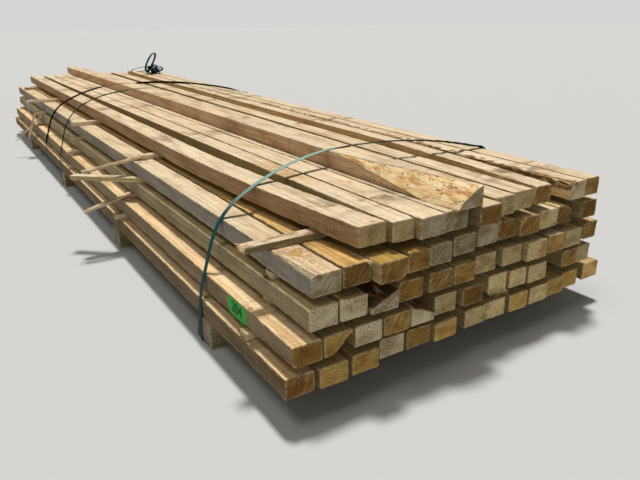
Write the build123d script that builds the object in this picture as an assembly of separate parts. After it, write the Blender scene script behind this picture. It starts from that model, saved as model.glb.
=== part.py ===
from build123d import *
import math
import os

# Stack of rough-sawn timber beams on bearers. All sizes are in millimetres and all angles in degrees.
# X runs across the stack, Y along the beams away from their near ends, and Z up from the floor.

# Beams
BEAM_WIDTH = 100
BEAM_HEIGHT = 70
BEAM_LENGTH = 6000
LENGTH_STEP = 14

# Bearers under the stack
BEARER_HEIGHT = 100
BEARER_WIDTH = 112
BEARER_OVERHANG = 6
FIRST_BEARER_PLACE = 570
LAST_BEARER_FROM_END = 1200

# Slats between the layers
SLAT_THICKNESS = 24
SLAT_WIDTH = 48
FIRST_SLAT_PLACE = 262
LAST_SLAT_FROM_END = 400
SLAT_OVERHANG = 4
CLEARANCE = 0.3

# Cracked slat ends that hang down outside the stack
TAIL_THICKNESS = 12
TAIL_WIDTH = 40
SAGGING_TAIL_LENGTH = 236
SAGGING_TAIL_DROP = 14
DROOPING_TAIL_LENGTH = 290
DROOPING_TAIL_DROP = 7.5
HANGING_TAIL_LENGTH = 215
HANGING_TAIL_DROP = 69

# A loose slat that slipped out of its gap, and a thin stick
ASKEW_SLAT_LENGTH = 640
ASKEW_SLAT_TURN = 137.5
ASKEW_SLAT_OUT = 246
ASKEW_SLAT_BEYOND_STATION = 191.5
STICK_THICKNESS = 9
STICK_WIDTH = 16
STICK_LENGTH = 300
STICK_RISE = 40
STICK_ASIDE = 14

# Top beam, sawn from the tapering butt of a log
TOP_BEAM_WIDTH = 124
TOP_BEAM_LENGTH = 6190
TOP_BEAM_IN = 18
TOP_BEAM_SET_BACK = -11
TOP_BEAM_TURN = 0.28
LOG_RADIUS = 200
LOG_CENTRE_ASIDE = 174
LOG_CENTRE_DOWN = 192.5
LOG_TAPER = 4.9

# Strapping
STRAP_THICKNESS = 1
STRAP_MARGIN = 40

# Spare strapping, crumpled on top near the far end
SPARE_WIDTH = 18
SPARE_THICKNESS = 1.2
SPARE_X = 1424
SPARE_FROM_END = 520

# Film scrap that hangs over a slat end
SCRAP_THICKNESS = 1.5
SCRAP_WIDTH = 46
SCRAP_FLAP = 44
SCRAP_HANG = 126

# Number tag
TAG_LENGTH = 142
TAG_HEIGHT = 62
TAG_THICKNESS = 1
TAG_PLACE = 265

LAYER_PITCH = BEAM_HEIGHT + SLAT_THICKNESS


class Layer:
    """One layer of beams, counted from the left and starting at 0.

    Gaps lie between neighbours and set-backs are at the near ends. The rest are for single beams: a width that
    differs from BEAM_WIDTH, a turn of the far end to the right, and a crook, which is how far the near end bends
    to the right and over what length.
    """

    def __init__(self, left, gaps, set_backs, shorter, widths=None, turns=None, crooks=None):
        self.left = left
        self.gaps = gaps
        self.set_backs = set_backs
        self.length = BEAM_LENGTH - shorter
        self.widths = widths or {}
        self.turns = turns or {}
        self.crooks = crooks or {}

    def width(self, place):
        return BEAM_WIDTH + self.widths.get(place, 0)

    def beam_left(self, place):
        return self.left + sum(self.width(i) for i in range(place)) + sum(self.gaps[:place])

    def count(self):
        return len(self.set_backs)

    def right(self):
        return self.beam_left(self.count() - 1) + self.width(self.count() - 1)

    def side_at(self, place, along):
        """Place of a beam's left face at a distance along the stack."""
        from_near_end = along - self.set_backs[place]
        side = self.beam_left(place) + from_near_end * math.tan(math.radians(self.turns.get(place, 0)))
        offset, reach = self.crooks.get(place, (0, 1))
        return side - offset + crook_at(offset, reach, from_near_end)


def crook_radius(offset, reach):
    """Radius of the arc that leaves a straight line and ends an offset aside of it over a reach."""
    return (reach**2 + offset**2) / (2 * abs(offset))


def crook_at(offset, reach, from_near_end):
    """How far a crooked beam lies aside of its straight line at a distance from its near end."""
    if offset == 0 or from_near_end >= reach:
        return 0
    radius = crook_radius(offset, reach)
    rise = radius - math.sqrt(radius**2 - (reach - from_near_end) ** 2)
    return math.copysign(rise, offset)


class Wane:
    """A missing corner of a beam, where the saw ran out of the log: largest at the near end and gone at its reach."""

    def __init__(self, across, deep, reach, right=False, low=False):
        self.across = across
        self.deep = deep
        self.reach = reach
        self.right = right
        self.low = low

    def cut(self, beam, width):
        """What is left of a beam that has its near left bottom corner at the origin."""
        corner = Vector(width if self.right else 0, 0, 0 if self.low else BEAM_HEIGHT)
        inward = Vector(-1 if self.right else 1, 0, 0)
        sound = Vector(0, 0, 1 if self.low else -1)
        on_face = corner + inward * self.across
        on_side = corner + sound * self.deep
        run_out = corner + Vector(0, self.reach, 0)
        normal = (on_side - on_face).cross(run_out - on_face)
        if normal.dot(inward) < 0:
            normal = -normal
        return split(beam, Plane(on_face, z_dir=normal), keep=Keep.TOP)


LAYERS = [
    Layer(
        left=2,
        gaps=[14, 20, 24, 10, 8, 50, 4, 14, 14, 4, 6, 50],
        set_backs=[-26, -33, -26, 2, 0, -13, -1, 2, -5, -2, 6, 20, 30],
        shorter=180,
    ),
    Layer(
        left=27,
        gaps=[6, 7, 9, 4, 15, 24, 52, 4, 4, 10, 12, 4],
        set_backs=[-27, -25, -25, -22, -20, -4, -10, 14, 4, -3, 120, 22, 24],
        shorter=220,
        widths={0: 3, 1: 2, 2: 2, 3: 6, 4: -2, 5: -3, 6: -4, 7: -6, 8: -12, 9: -2, 10: 4, 11: -10, 12: -23},
    ),
    Layer(
        left=91,
        gaps=[5, 4, 17, 27, 4, 25, 32, 7, 20, 6, 41],
        set_backs=[-16, -16, -30, -11, -10, -12, 12, 10, -10, 0, 2, 22],
        shorter=120,
        widths={1: 1, 2: 2, 3: -2, 4: 1, 5: -4, 8: 8, 9: -8, 10: -2, 11: -20},
    ),
    Layer(
        left=109,
        gaps=[8, 4, 17, 4, 27, 28, 5, 4, 12, 4, 48],
        set_backs=[0, 4, -36, -16, -12, 8, 26, 30, 14, 24, 28, 18],
        shorter=0,
        widths={0: 4, 2: 8, 3: -14, 4: -8, 7: -10, 8: 4, 10: -20, 11: -9},
    ),
    Layer(
        left=303,
        gaps=[3, 5, 3, 25, 15, 10, 20, 72, 8],
        set_backs=[46, 22, 0, 6, -22, 24, 38, 42, 8, 14],
        shorter=-20,
        widths={0: 6, 1: -12, 2: 5, 7: -17, 8: -18, 9: -18},
        turns={0: 0.35, 1: -0.25, 2: -0.25, 3: -0.25, 4: 0.4, 5: 0.9, 6: 1.3, 7: 1.55, 8: 1.55, 9: 1.55},
        crooks={0: (86, 1500), 7: (-60, 1100)},
    ),
]
TOP_LAYER = LAYERS[-1]
CROOKED_BEAMS = {0: "crooked_beam_left", 7: "crooked_beam_right"}
BEARER_LEFT = LAYERS[0].left - BEARER_OVERHANG
BEARER_RIGHT = LAYERS[0].right() + BEARER_OVERHANG

# Waney corners, by layer and place
WANES = {
    (1, 0): Wane(12, 16, 420, low=True),
    (1, 1): Wane(70, 60, 640, right=True, low=True),
    (1, 4): Wane(90, 44, 760, right=True),
    (2, 2): Wane(118, 50, 980),
    (3, 0): Wane(15, 11, 280),
    (3, 2): Wane(22, 18, 240, right=True, low=True),
    (3, 10): Wane(26, 22, 300, right=True),
}

# How far each bearer and each slat station lies off an even spacing, and how far the slats of one gap wander
BEARER_SHIFTS = [0, -190, -158, 0]
SLAT_SHIFTS = [0, 126, 69, 175, 0]
SLAT_WANDER = [-8, 10, -14, 6]

# Gaps between layers and slat stations are counted from 0, like the layers.
SLAT_TAILS = {
    (1, 1): (SAGGING_TAIL_LENGTH, SAGGING_TAIL_DROP),
    (3, 1): (DROOPING_TAIL_LENGTH, DROOPING_TAIL_DROP),
    (2, 3): (HANGING_TAIL_LENGTH, HANGING_TAIL_DROP),
}

# How far the left end of each slat lies inside the left side of the layer under it, one row for each gap
SLAT_LEFT_ENDS = [
    [6, -20, 5, 38, -14],
    [76, 47, -20, 10, 28],
    [14, 60, -38, -56, 10],
    [-84, 41, -40, -116, 12],
]


def layer_bottom(index):
    """Height of a layer's underside, where layer 0 rests on the bearers."""
    return BEARER_HEIGHT + index * LAYER_PITCH


TOP_HEIGHT = layer_bottom(len(LAYERS) - 1) + 2 * BEAM_HEIGHT


def beam_length(index, place):
    """Length of one beam, uneven by a few steps."""
    unevenness = (place * 5 + index * 3) % 7 - 3
    return LAYERS[index].length + LENGTH_STEP * unevenness


def spaced(first, last, number, shifts):
    """One of several evenly spaced places, with its own shift."""
    return first + (last - first) * number / (len(shifts) - 1) + shifts[number]


def straight_beam(width, length):
    """A beam with its near left bottom corner at the origin."""
    return Box(width, length, BEAM_HEIGHT, align=Align.MIN)


def crooked_beam(width, length, offset, reach):
    """A beam whose near end bends aside in plan, with its near left bottom corner at the origin."""
    near = Vector(0, 0)
    middle = Vector(crook_at(offset, reach, reach / 2) - offset, reach / 2)
    straight = Vector(-offset, reach)
    far = Vector(-offset, length)
    across = Vector(width, 0)
    outline = [
        ThreePointArc(near, middle, straight),
        Line(straight, far),
        Line(far, far + across),
        Line(far + across, straight + across),
        ThreePointArc(straight + across, middle + across, near + across),
        Line(near + across, near),
    ]
    return extrude(make_face(outline), BEAM_HEIGHT)


def make_beam(index, place):
    """One beam of a layer, where it lies."""
    layer = LAYERS[index]
    width = layer.width(place)
    length = beam_length(index, place)
    if place in layer.crooks:
        beam = crooked_beam(width, length, *layer.crooks[place])
    else:
        beam = straight_beam(width, length)
    if (index, place) in WANES:
        beam = WANES[index, place].cut(beam, width)
    corner = Pos(layer.beam_left(place), layer.set_backs[place], layer_bottom(index))
    return corner * Rot(0, 0, -layer.turns.get(place, 0)) * beam


def top_beam_left(bed=3):
    """Left side of the top beam at its near end, a little inside that of the beam that it is bedded on."""
    return TOP_LAYER.beam_left(bed) + TOP_BEAM_IN


def make_top_beam():
    """The top beam: its box within the tapering log that it was sawn from."""
    box = Box(TOP_BEAM_WIDTH, TOP_BEAM_LENGTH, BEAM_HEIGHT, align=Align.MIN)
    far_radius = LOG_RADIUS + TOP_BEAM_LENGTH * math.tan(math.radians(LOG_TAPER))
    log = Cone(LOG_RADIUS, far_radius, TOP_BEAM_LENGTH, align=(Align.CENTER, Align.CENTER, Align.MIN))
    centre = Pos(LOG_CENTRE_ASIDE, 0, BEAM_HEIGHT - LOG_CENTRE_DOWN)
    place = Pos(top_beam_left(), TOP_BEAM_SET_BACK, TOP_HEIGHT - BEAM_HEIGHT) * Rot(0, 0, -TOP_BEAM_TURN)
    return place * (box & (centre * Rot(-90, 0, 0) * log))


def bearer_place(number):
    """Where a bearer lies along the stack."""
    return spaced(FIRST_BEARER_PLACE, BEAM_LENGTH - LAST_BEARER_FROM_END, number, BEARER_SHIFTS)


def make_bearer(number):
    """A bearer across the whole of the bottom layer, with a shallow bite where a strap passes under it."""
    bearer = Box(BEARER_RIGHT - BEARER_LEFT, BEARER_WIDTH, BEARER_HEIGHT, align=(Align.MIN, Align.CENTER, Align.MIN))
    bearer = Pos(BEARER_LEFT, bearer_place(number), 0) * bearer
    for strap in STRAPS.values():
        if strap.bearer == number and strap.round_bearer:
            bearer -= lower_way(strap, strap.width + 2 * CLEARANCE, -STRAP_MARGIN, STRAP_THICKNESS + CLEARANCE)
    return bearer


def slat_bottom(gap):
    """Height of the slats in one gap between layers."""
    return layer_bottom(gap) + BEAM_HEIGHT


def slat_left(gap, station):
    return LAYERS[gap].left + SLAT_LEFT_ENDS[gap][station]


def slat_place(gap, station):
    """Where a slat lies along the stack."""
    return spaced(FIRST_SLAT_PLACE, BEAM_LENGTH - LAST_SLAT_FROM_END, station, SLAT_SHIFTS) + SLAT_WANDER[gap]


def slat_right(gap, station):
    """A slat reaches just past the wider of the layers under and over it."""
    over = LAYERS[gap + 1]
    last = over.count() - 1
    over_right = over.side_at(last, slat_place(gap, station)) + over.width(last)
    return max(LAYERS[gap].right(), over_right) + SLAT_OVERHANG


def make_slat(gap, station):
    length = slat_right(gap, station) - slat_left(gap, station)
    slat = Box(length, SLAT_WIDTH, SLAT_THICKNESS, align=(Align.MIN, Align.CENTER, Align.MIN))
    slat = Pos(slat_left(gap, station), slat_place(gap, station), slat_bottom(gap)) * slat
    tail = SLAT_TAILS.get((gap, station))
    return slat + slat_tail(gap, station, *tail) if tail else slat


def slat_tail(gap, station, length, drop):
    """The cracked left end of a slat, which drops outside the stack over the corner of the beam under it."""
    start = slat_left(gap, station)
    bottom = slat_bottom(gap)
    angle = math.radians(drop)
    inside = start - LAYERS[gap].left
    over_corner = bottom + CLEARANCE + inside * math.tan(angle)
    hinge = Vector(start, over_corner if inside > 0 else bottom)
    down = Vector(-math.cos(angle), -math.sin(angle)) * length
    thick = Vector(-math.sin(angle), math.cos(angle)) * TAIL_THICKNESS
    crack = Vector(start, min(bottom + SLAT_THICKNESS, hinge.Y + TAIL_THICKNESS / math.cos(angle)))
    profile = make_face(Polyline(hinge, hinge + down, hinge + down + thick, hinge + thick, crack, close=True))
    return upright(profile, slat_place(gap, station), TAIL_WIDTH)


def upright(profile, place, width):
    """A profile drawn as across and up, made into a solid of a width centred on a place along the stack."""
    return Pos(0, place + width / 2, 0) * Rot(90, 0, 0) * extrude(profile, width)


def make_askew_slat(gap=2, station=1):
    """A loose slat that slipped out of its gap at an angle, past one slat station."""
    slat = Box(ASKEW_SLAT_LENGTH, SLAT_WIDTH, SLAT_THICKNESS, align=(Align.MAX, Align.CENTER, Align.MIN))
    place = slat_place(gap, station) + ASKEW_SLAT_BEYOND_STATION
    end = Pos(LAYERS[gap].left - ASKEW_SLAT_OUT, place, slat_bottom(gap))
    return end * Rot(0, 0, ASKEW_SLAT_TURN) * slat


def make_leaning_stick(gap=1, station=3):
    """A thin stick that lies over a slat's end with its upper end against the beam above."""
    rise = math.radians(STICK_RISE)
    corner_x = slat_left(gap, station)
    corner_z = slat_bottom(gap) + SLAT_THICKNESS
    beyond = (LAYERS[gap + 1].left - CLEARANCE - corner_x) / math.cos(rise)
    stick = Box(STICK_LENGTH, STICK_WIDTH, STICK_THICKNESS, align=(Align.MAX, Align.CENTER, Align.MIN))
    stick = Pos(beyond, 0, CLEARANCE) * stick
    place = slat_place(gap, station) + STICK_ASIDE
    return Pos(corner_x, place, corner_z) * Rot(0, -STICK_RISE, 0) * stick


def make_film_scrap(gap=3, station=3):
    """A scrap of film over the end of a slat, flat on top of it and hanging down in front."""
    left = slat_left(gap, station) - CLEARANCE
    top = slat_bottom(gap) + SLAT_THICKNESS + CLEARANCE
    flap = Pos(left, 0, top) * Box(SCRAP_FLAP, SCRAP_WIDTH, SCRAP_THICKNESS, align=(Align.MIN, Align.CENTER, Align.MIN))
    hang = Box(SCRAP_THICKNESS, SCRAP_WIDTH, SCRAP_HANG, align=(Align.MAX, Align.CENTER, Align.MAX))
    hang = Pos(left, 0, top + SCRAP_THICKNESS) * hang
    return Pos(0, slat_place(gap, station), 0) * (flap + hang)


class Strap:
    """A band of strapping round the stack.

    Its places along the stack are given from a bearer: at the left side, over the left edge of the top layer, over the
    left and the right edge of the top beam, and at the right side. Beyond the top beam it bows up by the bow. It goes
    round its bearer too, or else passes under the bottom layer beyond it.
    """

    def __init__(self, width, bearer, from_bearer, bow, round_bearer=True):
        self.width = width
        self.bearer = bearer
        self.places = [bearer_place(bearer) + distance for distance in from_bearer]
        self.bow = bow
        self.round_bearer = round_bearer

    def left_place(self):
        return self.places[0]

    def right_place(self):
        return self.places[-1]


STRAPS = {
    "strap_near": Strap(18, 0, [30, 62, 160, 165, 42], 28),
    "strap_middle": Strap(13, 2, [38, 131, 226, 208, 18], 12),
    "strap_far": Strap(16, 2, [638, 558, 693, 668, 188], 50, round_bearer=False),
}


def left_edge(layer, place, width):
    """The leftmost point of a layer under a strap."""
    return min(layer.side_at(0, place - width / 2), layer.side_at(0, place + width / 2))


def right_edge(layer, place, width):
    """The rightmost point of a layer under a strap."""
    last = layer.count() - 1
    sides = (layer.side_at(last, place - width / 2), layer.side_at(last, place + width / 2))
    return max(sides) + layer.width(last) / math.cos(math.radians(layer.turns.get(last, 0)))


def top_beam_sides(place):
    """Left and right side of the top beam at a distance along the stack."""
    turn = math.radians(TOP_BEAM_TURN)
    left = top_beam_left() + (place - TOP_BEAM_SET_BACK) * math.tan(turn)
    return left, left + TOP_BEAM_WIDTH / math.cos(turn)


def top_corners(strap):
    """Where a strap lies on the top beam's left and right edge, as points across."""
    return top_beam_sides(strap.places[2])[0], top_beam_sides(strap.places[3])[1]


def right_shoulder(strap):
    """Where a strap lies on the top layer's right edge, on its way from the top beam to the right side."""
    start, end = top_corners(strap)[1], LAYERS[0].right()
    first = right_edge(TOP_LAYER, strap.right_place(), strap.width)
    part = (end - first) / (end - start)
    place = strap.right_place() + (strap.places[3] - strap.right_place()) * part
    return right_edge(TOP_LAYER, place, strap.width)


def strap_corners(strap):
    """Every corner that a strap can lie on, as across and up."""
    sides = [(left_edge(i, strap.left_place(), strap.width), right_edge(i, strap.right_place(), strap.width))
             for i in LAYERS[:-1]]
    sides.append((left_edge(TOP_LAYER, strap.places[1], strap.width), right_shoulder(strap)))
    corners = [(side, layer_bottom(i) + BEAM_HEIGHT) for i in range(len(LAYERS)) for side in sides[i]]
    corners += [(side, TOP_HEIGHT) for side in top_corners(strap)]
    corners += [(side, layer_bottom(0)) for side in sides[0]]
    if strap.round_bearer:
        groove = STRAP_THICKNESS + CLEARANCE
        corners += [(side, height) for side in (BEARER_LEFT, BEARER_RIGHT) for height in (groove, BEARER_HEIGHT)]
    return corners


def turns_left(first, second, third):
    """Whether three points turn to the left."""
    return (second[0] - first[0]) * (third[1] - first[1]) > (second[1] - first[1]) * (third[0] - first[0])


def half_hull(points):
    chain = []
    for point in points:
        while len(chain) > 1 and not turns_left(chain[-2], chain[-1], point):
            chain.pop()
        chain.append(point)
    return chain[:-1]


def tight_outline(points):
    """Corners of the tightest band round some points, counterclockwise."""
    ordered = sorted(set(points))
    return half_hull(ordered) + half_hull(ordered[::-1])


def strap_outline(strap):
    """The closed line that a strap follows, bowed up to the right of the top beam."""
    corners = tight_outline(strap_corners(strap))
    edges = []
    for start, end in zip(corners, corners[1:] + corners[:1]):
        if start[1] < TOP_HEIGHT and end == (top_corners(strap)[1], TOP_HEIGHT):
            edges.append(SagittaArc(start, end, -strap.bow))
        else:
            edges.append(Line(start, end))
    return make_face(edges)


def strap_way(across, places, width, bottom, top):
    """The upright slab of space that a strap keeps to, from places along the stack at points across it."""
    near = [Vector(x, y - width / 2) for x, y in zip(across, places)]
    far = [Vector(x, y + width / 2) for x, y in zip(across, places)]
    outline = make_face(Polyline(*near, *far[::-1], close=True))
    return Pos(0, 0, bottom) * extrude(outline, top - bottom)


def lower_way(strap, width, bottom, top):
    """The way of a strap under the stack, straight from one side to the other."""
    left, right = LAYERS[0].left, LAYERS[0].right()
    across = [left - STRAP_MARGIN, left, right, right + STRAP_MARGIN]
    places = [strap.left_place(), strap.left_place(), strap.right_place(), strap.right_place()]
    return strap_way(across, places, width, bottom, top)


def upper_way(strap, bottom, top):
    """The way of a strap over the stack, by way of the top layer's left edge and the top beam."""
    left, right = LAYERS[0].left, LAYERS[0].right()
    shoulder = left_edge(TOP_LAYER, strap.places[1], strap.width)
    across = [left - STRAP_MARGIN, left, shoulder, *top_corners(strap), right, right + STRAP_MARGIN]
    places = [strap.left_place(), *strap.places, strap.right_place()]
    return strap_way(across, places, strap.width, bottom, top)


def make_strap(strap):
    """A strap: its tight band, kept to its way along the stack."""
    outline = strap_outline(strap)
    band = offset(outline, CLEARANCE + STRAP_THICKNESS) - offset(outline, CLEARANCE)
    nearest, farthest = min(strap.places) - STRAP_MARGIN, max(strap.places) + STRAP_MARGIN
    tube = upright(band, (nearest + farthest) / 2, farthest - nearest)
    middle = layer_bottom(0) + BEAM_HEIGHT / 2
    way = lower_way(strap, strap.width, -STRAP_MARGIN, middle) + upper_way(strap, middle, TOP_HEIGHT + STRAP_MARGIN)
    return tube & way


class Loop:
    """An oval bight of the spare strapping: its middle, its half sizes, its tilt and the turn of its upright plane."""

    def __init__(self, aside, rise, half_length, half_height, tilt, turn):
        self.aside = aside
        self.rise = rise
        self.half_length = half_length
        self.half_height = half_height
        self.tilt = tilt
        self.turn = turn

    def band(self):
        """The bight as a solid band."""
        inner = Ellipse(self.half_length - SPARE_THICKNESS, self.half_height - SPARE_THICKNESS)
        ring = Ellipse(self.half_length, self.half_height) - inner
        return Rot(0, 0, self.turn) * upright(Pos(self.aside, self.rise) * Rot(0, 0, self.tilt) * ring, 0, SPARE_WIDTH)


SPARE_LOOPS = [
    Loop(-26, 132, 126, 40, 41, 36),
    Loop(0, 40, 88, 40, 0, 5),
    Loop(6, 31, 92, 28, 3, 38),
    Loop(-4, 48, 74, 28, 24, -30),
    Loop(10, 50, 84, 24, -22, 30),
    Loop(96, 50, 66, 27, -12, 26),
    Loop(-150, 56, 132, 22, 6, 12),
]


def make_spare_strapping():
    """A length of spare strapping, crumpled into bights that cross each other."""
    bundle = SPARE_LOOPS[0].band()
    for loop in SPARE_LOOPS[1:]:
        bundle += loop.band()
    place = Pos(SPARE_X, BEAM_LENGTH - SPARE_FROM_END, layer_bottom(len(LAYERS) - 1) + BEAM_HEIGHT + CLEARANCE)
    return place * bundle


def make_tag(index=1):
    """The number tag on the left side of the second layer."""
    tag = Box(TAG_THICKNESS, TAG_LENGTH, TAG_HEIGHT, align=(Align.MAX, Align.MIN, Align.CENTER))
    return Pos(LAYERS[index].left - CLEARANCE, TAG_PLACE, layer_bottom(index) + BEAM_HEIGHT / 2) * tag


def make_nodes():
    """Every node of the stack by name."""
    nodes = {"bearers": [make_bearer(number) for number in range(len(BEARER_SHIFTS))]}
    for index, layer in enumerate(LAYERS):
        nodes[f"beams_layer_{index + 1}"] = [
            make_beam(index, place) for place in range(layer.count()) if place not in layer.crooks
        ]
    for place, name in CROOKED_BEAMS.items():
        nodes[name] = [make_beam(len(LAYERS) - 1, place)]
    nodes["top_beam"] = [make_top_beam()]
    for gap in range(len(LAYERS) - 1):
        nodes[f"slats_level_{gap + 1}"] = [make_slat(gap, station) for station in range(len(SLAT_SHIFTS))]
    nodes["askew_slat"] = [make_askew_slat()]
    nodes["leaning_stick"] = [make_leaning_stick()]
    nodes["film_scrap"] = [make_film_scrap()]
    for name, strap in STRAPS.items():
        nodes[name] = [make_strap(strap)]
    nodes["spare_strapping"] = [make_spare_strapping()]
    nodes["number_tag"] = [make_tag()]
    return nodes


def main():
    nodes = {name: Compound(pieces) for name, pieces in make_nodes().items()}
    box = Compound(list(nodes.values())).bounding_box()
    to_origin = Pos(-box.center().X, -box.center().Y, -box.min.Z)
    os.makedirs("parts", exist_ok=True)
    for name, node in nodes.items():
        export_step(to_origin * node, f"parts/{name}.step")


main()
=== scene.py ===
"""A strapped stack of rough-sawn timber beams on bearers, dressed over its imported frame."""

import logging
import math
import random
from dataclasses import dataclass
from enum import Enum

import bmesh
import bpy
from mathutils import Matrix, Vector, noise


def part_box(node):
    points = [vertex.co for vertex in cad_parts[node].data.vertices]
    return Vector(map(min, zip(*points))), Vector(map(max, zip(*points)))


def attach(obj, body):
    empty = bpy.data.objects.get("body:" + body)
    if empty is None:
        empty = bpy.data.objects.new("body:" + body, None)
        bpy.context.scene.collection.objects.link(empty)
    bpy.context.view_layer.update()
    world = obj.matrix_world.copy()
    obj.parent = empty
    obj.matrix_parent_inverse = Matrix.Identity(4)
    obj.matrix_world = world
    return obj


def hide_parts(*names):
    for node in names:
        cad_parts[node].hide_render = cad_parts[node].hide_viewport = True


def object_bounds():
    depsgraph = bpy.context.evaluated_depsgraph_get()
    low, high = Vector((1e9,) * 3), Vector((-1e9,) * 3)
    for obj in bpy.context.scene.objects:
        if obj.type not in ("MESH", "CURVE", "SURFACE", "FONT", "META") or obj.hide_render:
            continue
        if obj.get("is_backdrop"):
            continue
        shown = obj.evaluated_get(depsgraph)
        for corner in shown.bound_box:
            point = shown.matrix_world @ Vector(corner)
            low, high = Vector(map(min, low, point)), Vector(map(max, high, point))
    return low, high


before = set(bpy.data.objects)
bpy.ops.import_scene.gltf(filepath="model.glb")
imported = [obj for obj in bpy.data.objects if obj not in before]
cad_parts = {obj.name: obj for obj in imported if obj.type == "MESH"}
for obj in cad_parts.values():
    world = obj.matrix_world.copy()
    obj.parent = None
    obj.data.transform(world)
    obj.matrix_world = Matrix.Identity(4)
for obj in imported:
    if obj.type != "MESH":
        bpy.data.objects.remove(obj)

LOG = logging.getLogger("timber_stack")
MM = 0.001
SEED = 41
UP = Vector((0, 0, 1))

Pair = tuple[float, float]
Triple = tuple[float, float, float]


class Tone(Enum):
    """Timber colours by name, as sRGB hex."""

    CREAM = "#E8D6B6"
    ROSE = "#DDBE9C"
    BLOND = "#DAC792"
    HONEY = "#DDB673"
    STRAW = "#C8B582"
    KHAKI = "#B3A274"
    ASH = "#CCC5A4"
    DRIFT = "#A39C7F"
    OLIVE = "#8A8260"
    DUN = "#94856A"
    SLATE = "#9B9588"
    GOLD = "#C9AA5A"
    OCHRE = "#B6964C"
    UMBER = "#9B7C3A"
    TOBACCO = "#8A6A2A"
    PEAT = "#75571F"
    SIENNA = "#AE9270"
    RUSSET = "#7E5236"
    SEPIA = "#7A694C"
    AMBER = "#F4D49A"
    PEACH = "#F2D5A8"
    BARK = "#4E3C28"


class Side(Enum):
    """Which way a face of a timber looks."""

    END = 0
    TOP = 1
    LEFT = 2
    RIGHT = 3
    UNDER = 4
    WANE = 5


def linear(value: str) -> tuple[float, float, float, float]:
    """Turn an sRGB hex colour to linear.

    Args:
        value: The colour, such as "#E2CBA2".

    Returns:
        Red, green, blue and a full alpha.
    """
    parts = [int(value[i : i + 2], 16) / 255 for i in (1, 3, 5)]
    red, green, blue = (p / 12.92 if p <= 0.04045 else ((p + 0.055) / 1.055) ** 2.4 for p in parts)
    return red, green, blue, 1.0


def add(tree: bpy.types.NodeTree, kind: str, inputs: dict | None = None) -> bpy.types.Node:
    """Add a node with its settings and links.

    Args:
        tree: The node tree that takes the node.
        kind: Blender's name for the node's type, without "ShaderNode" in front.
        inputs: Attributes of the node by name, values and sockets for its inputs by name or number, and the stops of
            a ramp as places and grey levels.

    Returns:
        The new node.
    """
    made = tree.nodes.new("ShaderNode" + kind)
    for name, value in (inputs or {}).items():
        if name == "stops":
            while len(made.color_ramp.elements) < len(value):
                made.color_ramp.elements.new(0.5)
            for element, (place, level) in zip(made.color_ramp.elements, value):
                element.position = place
                element.color = (level, level, level, 1)
        elif isinstance(value, bpy.types.NodeSocket):
            tree.links.new(value, made.inputs[name])
        elif isinstance(name, str) and hasattr(made, name):
            setattr(made, name, value)
        else:
            made.inputs[name].default_value = value
    return made


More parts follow.
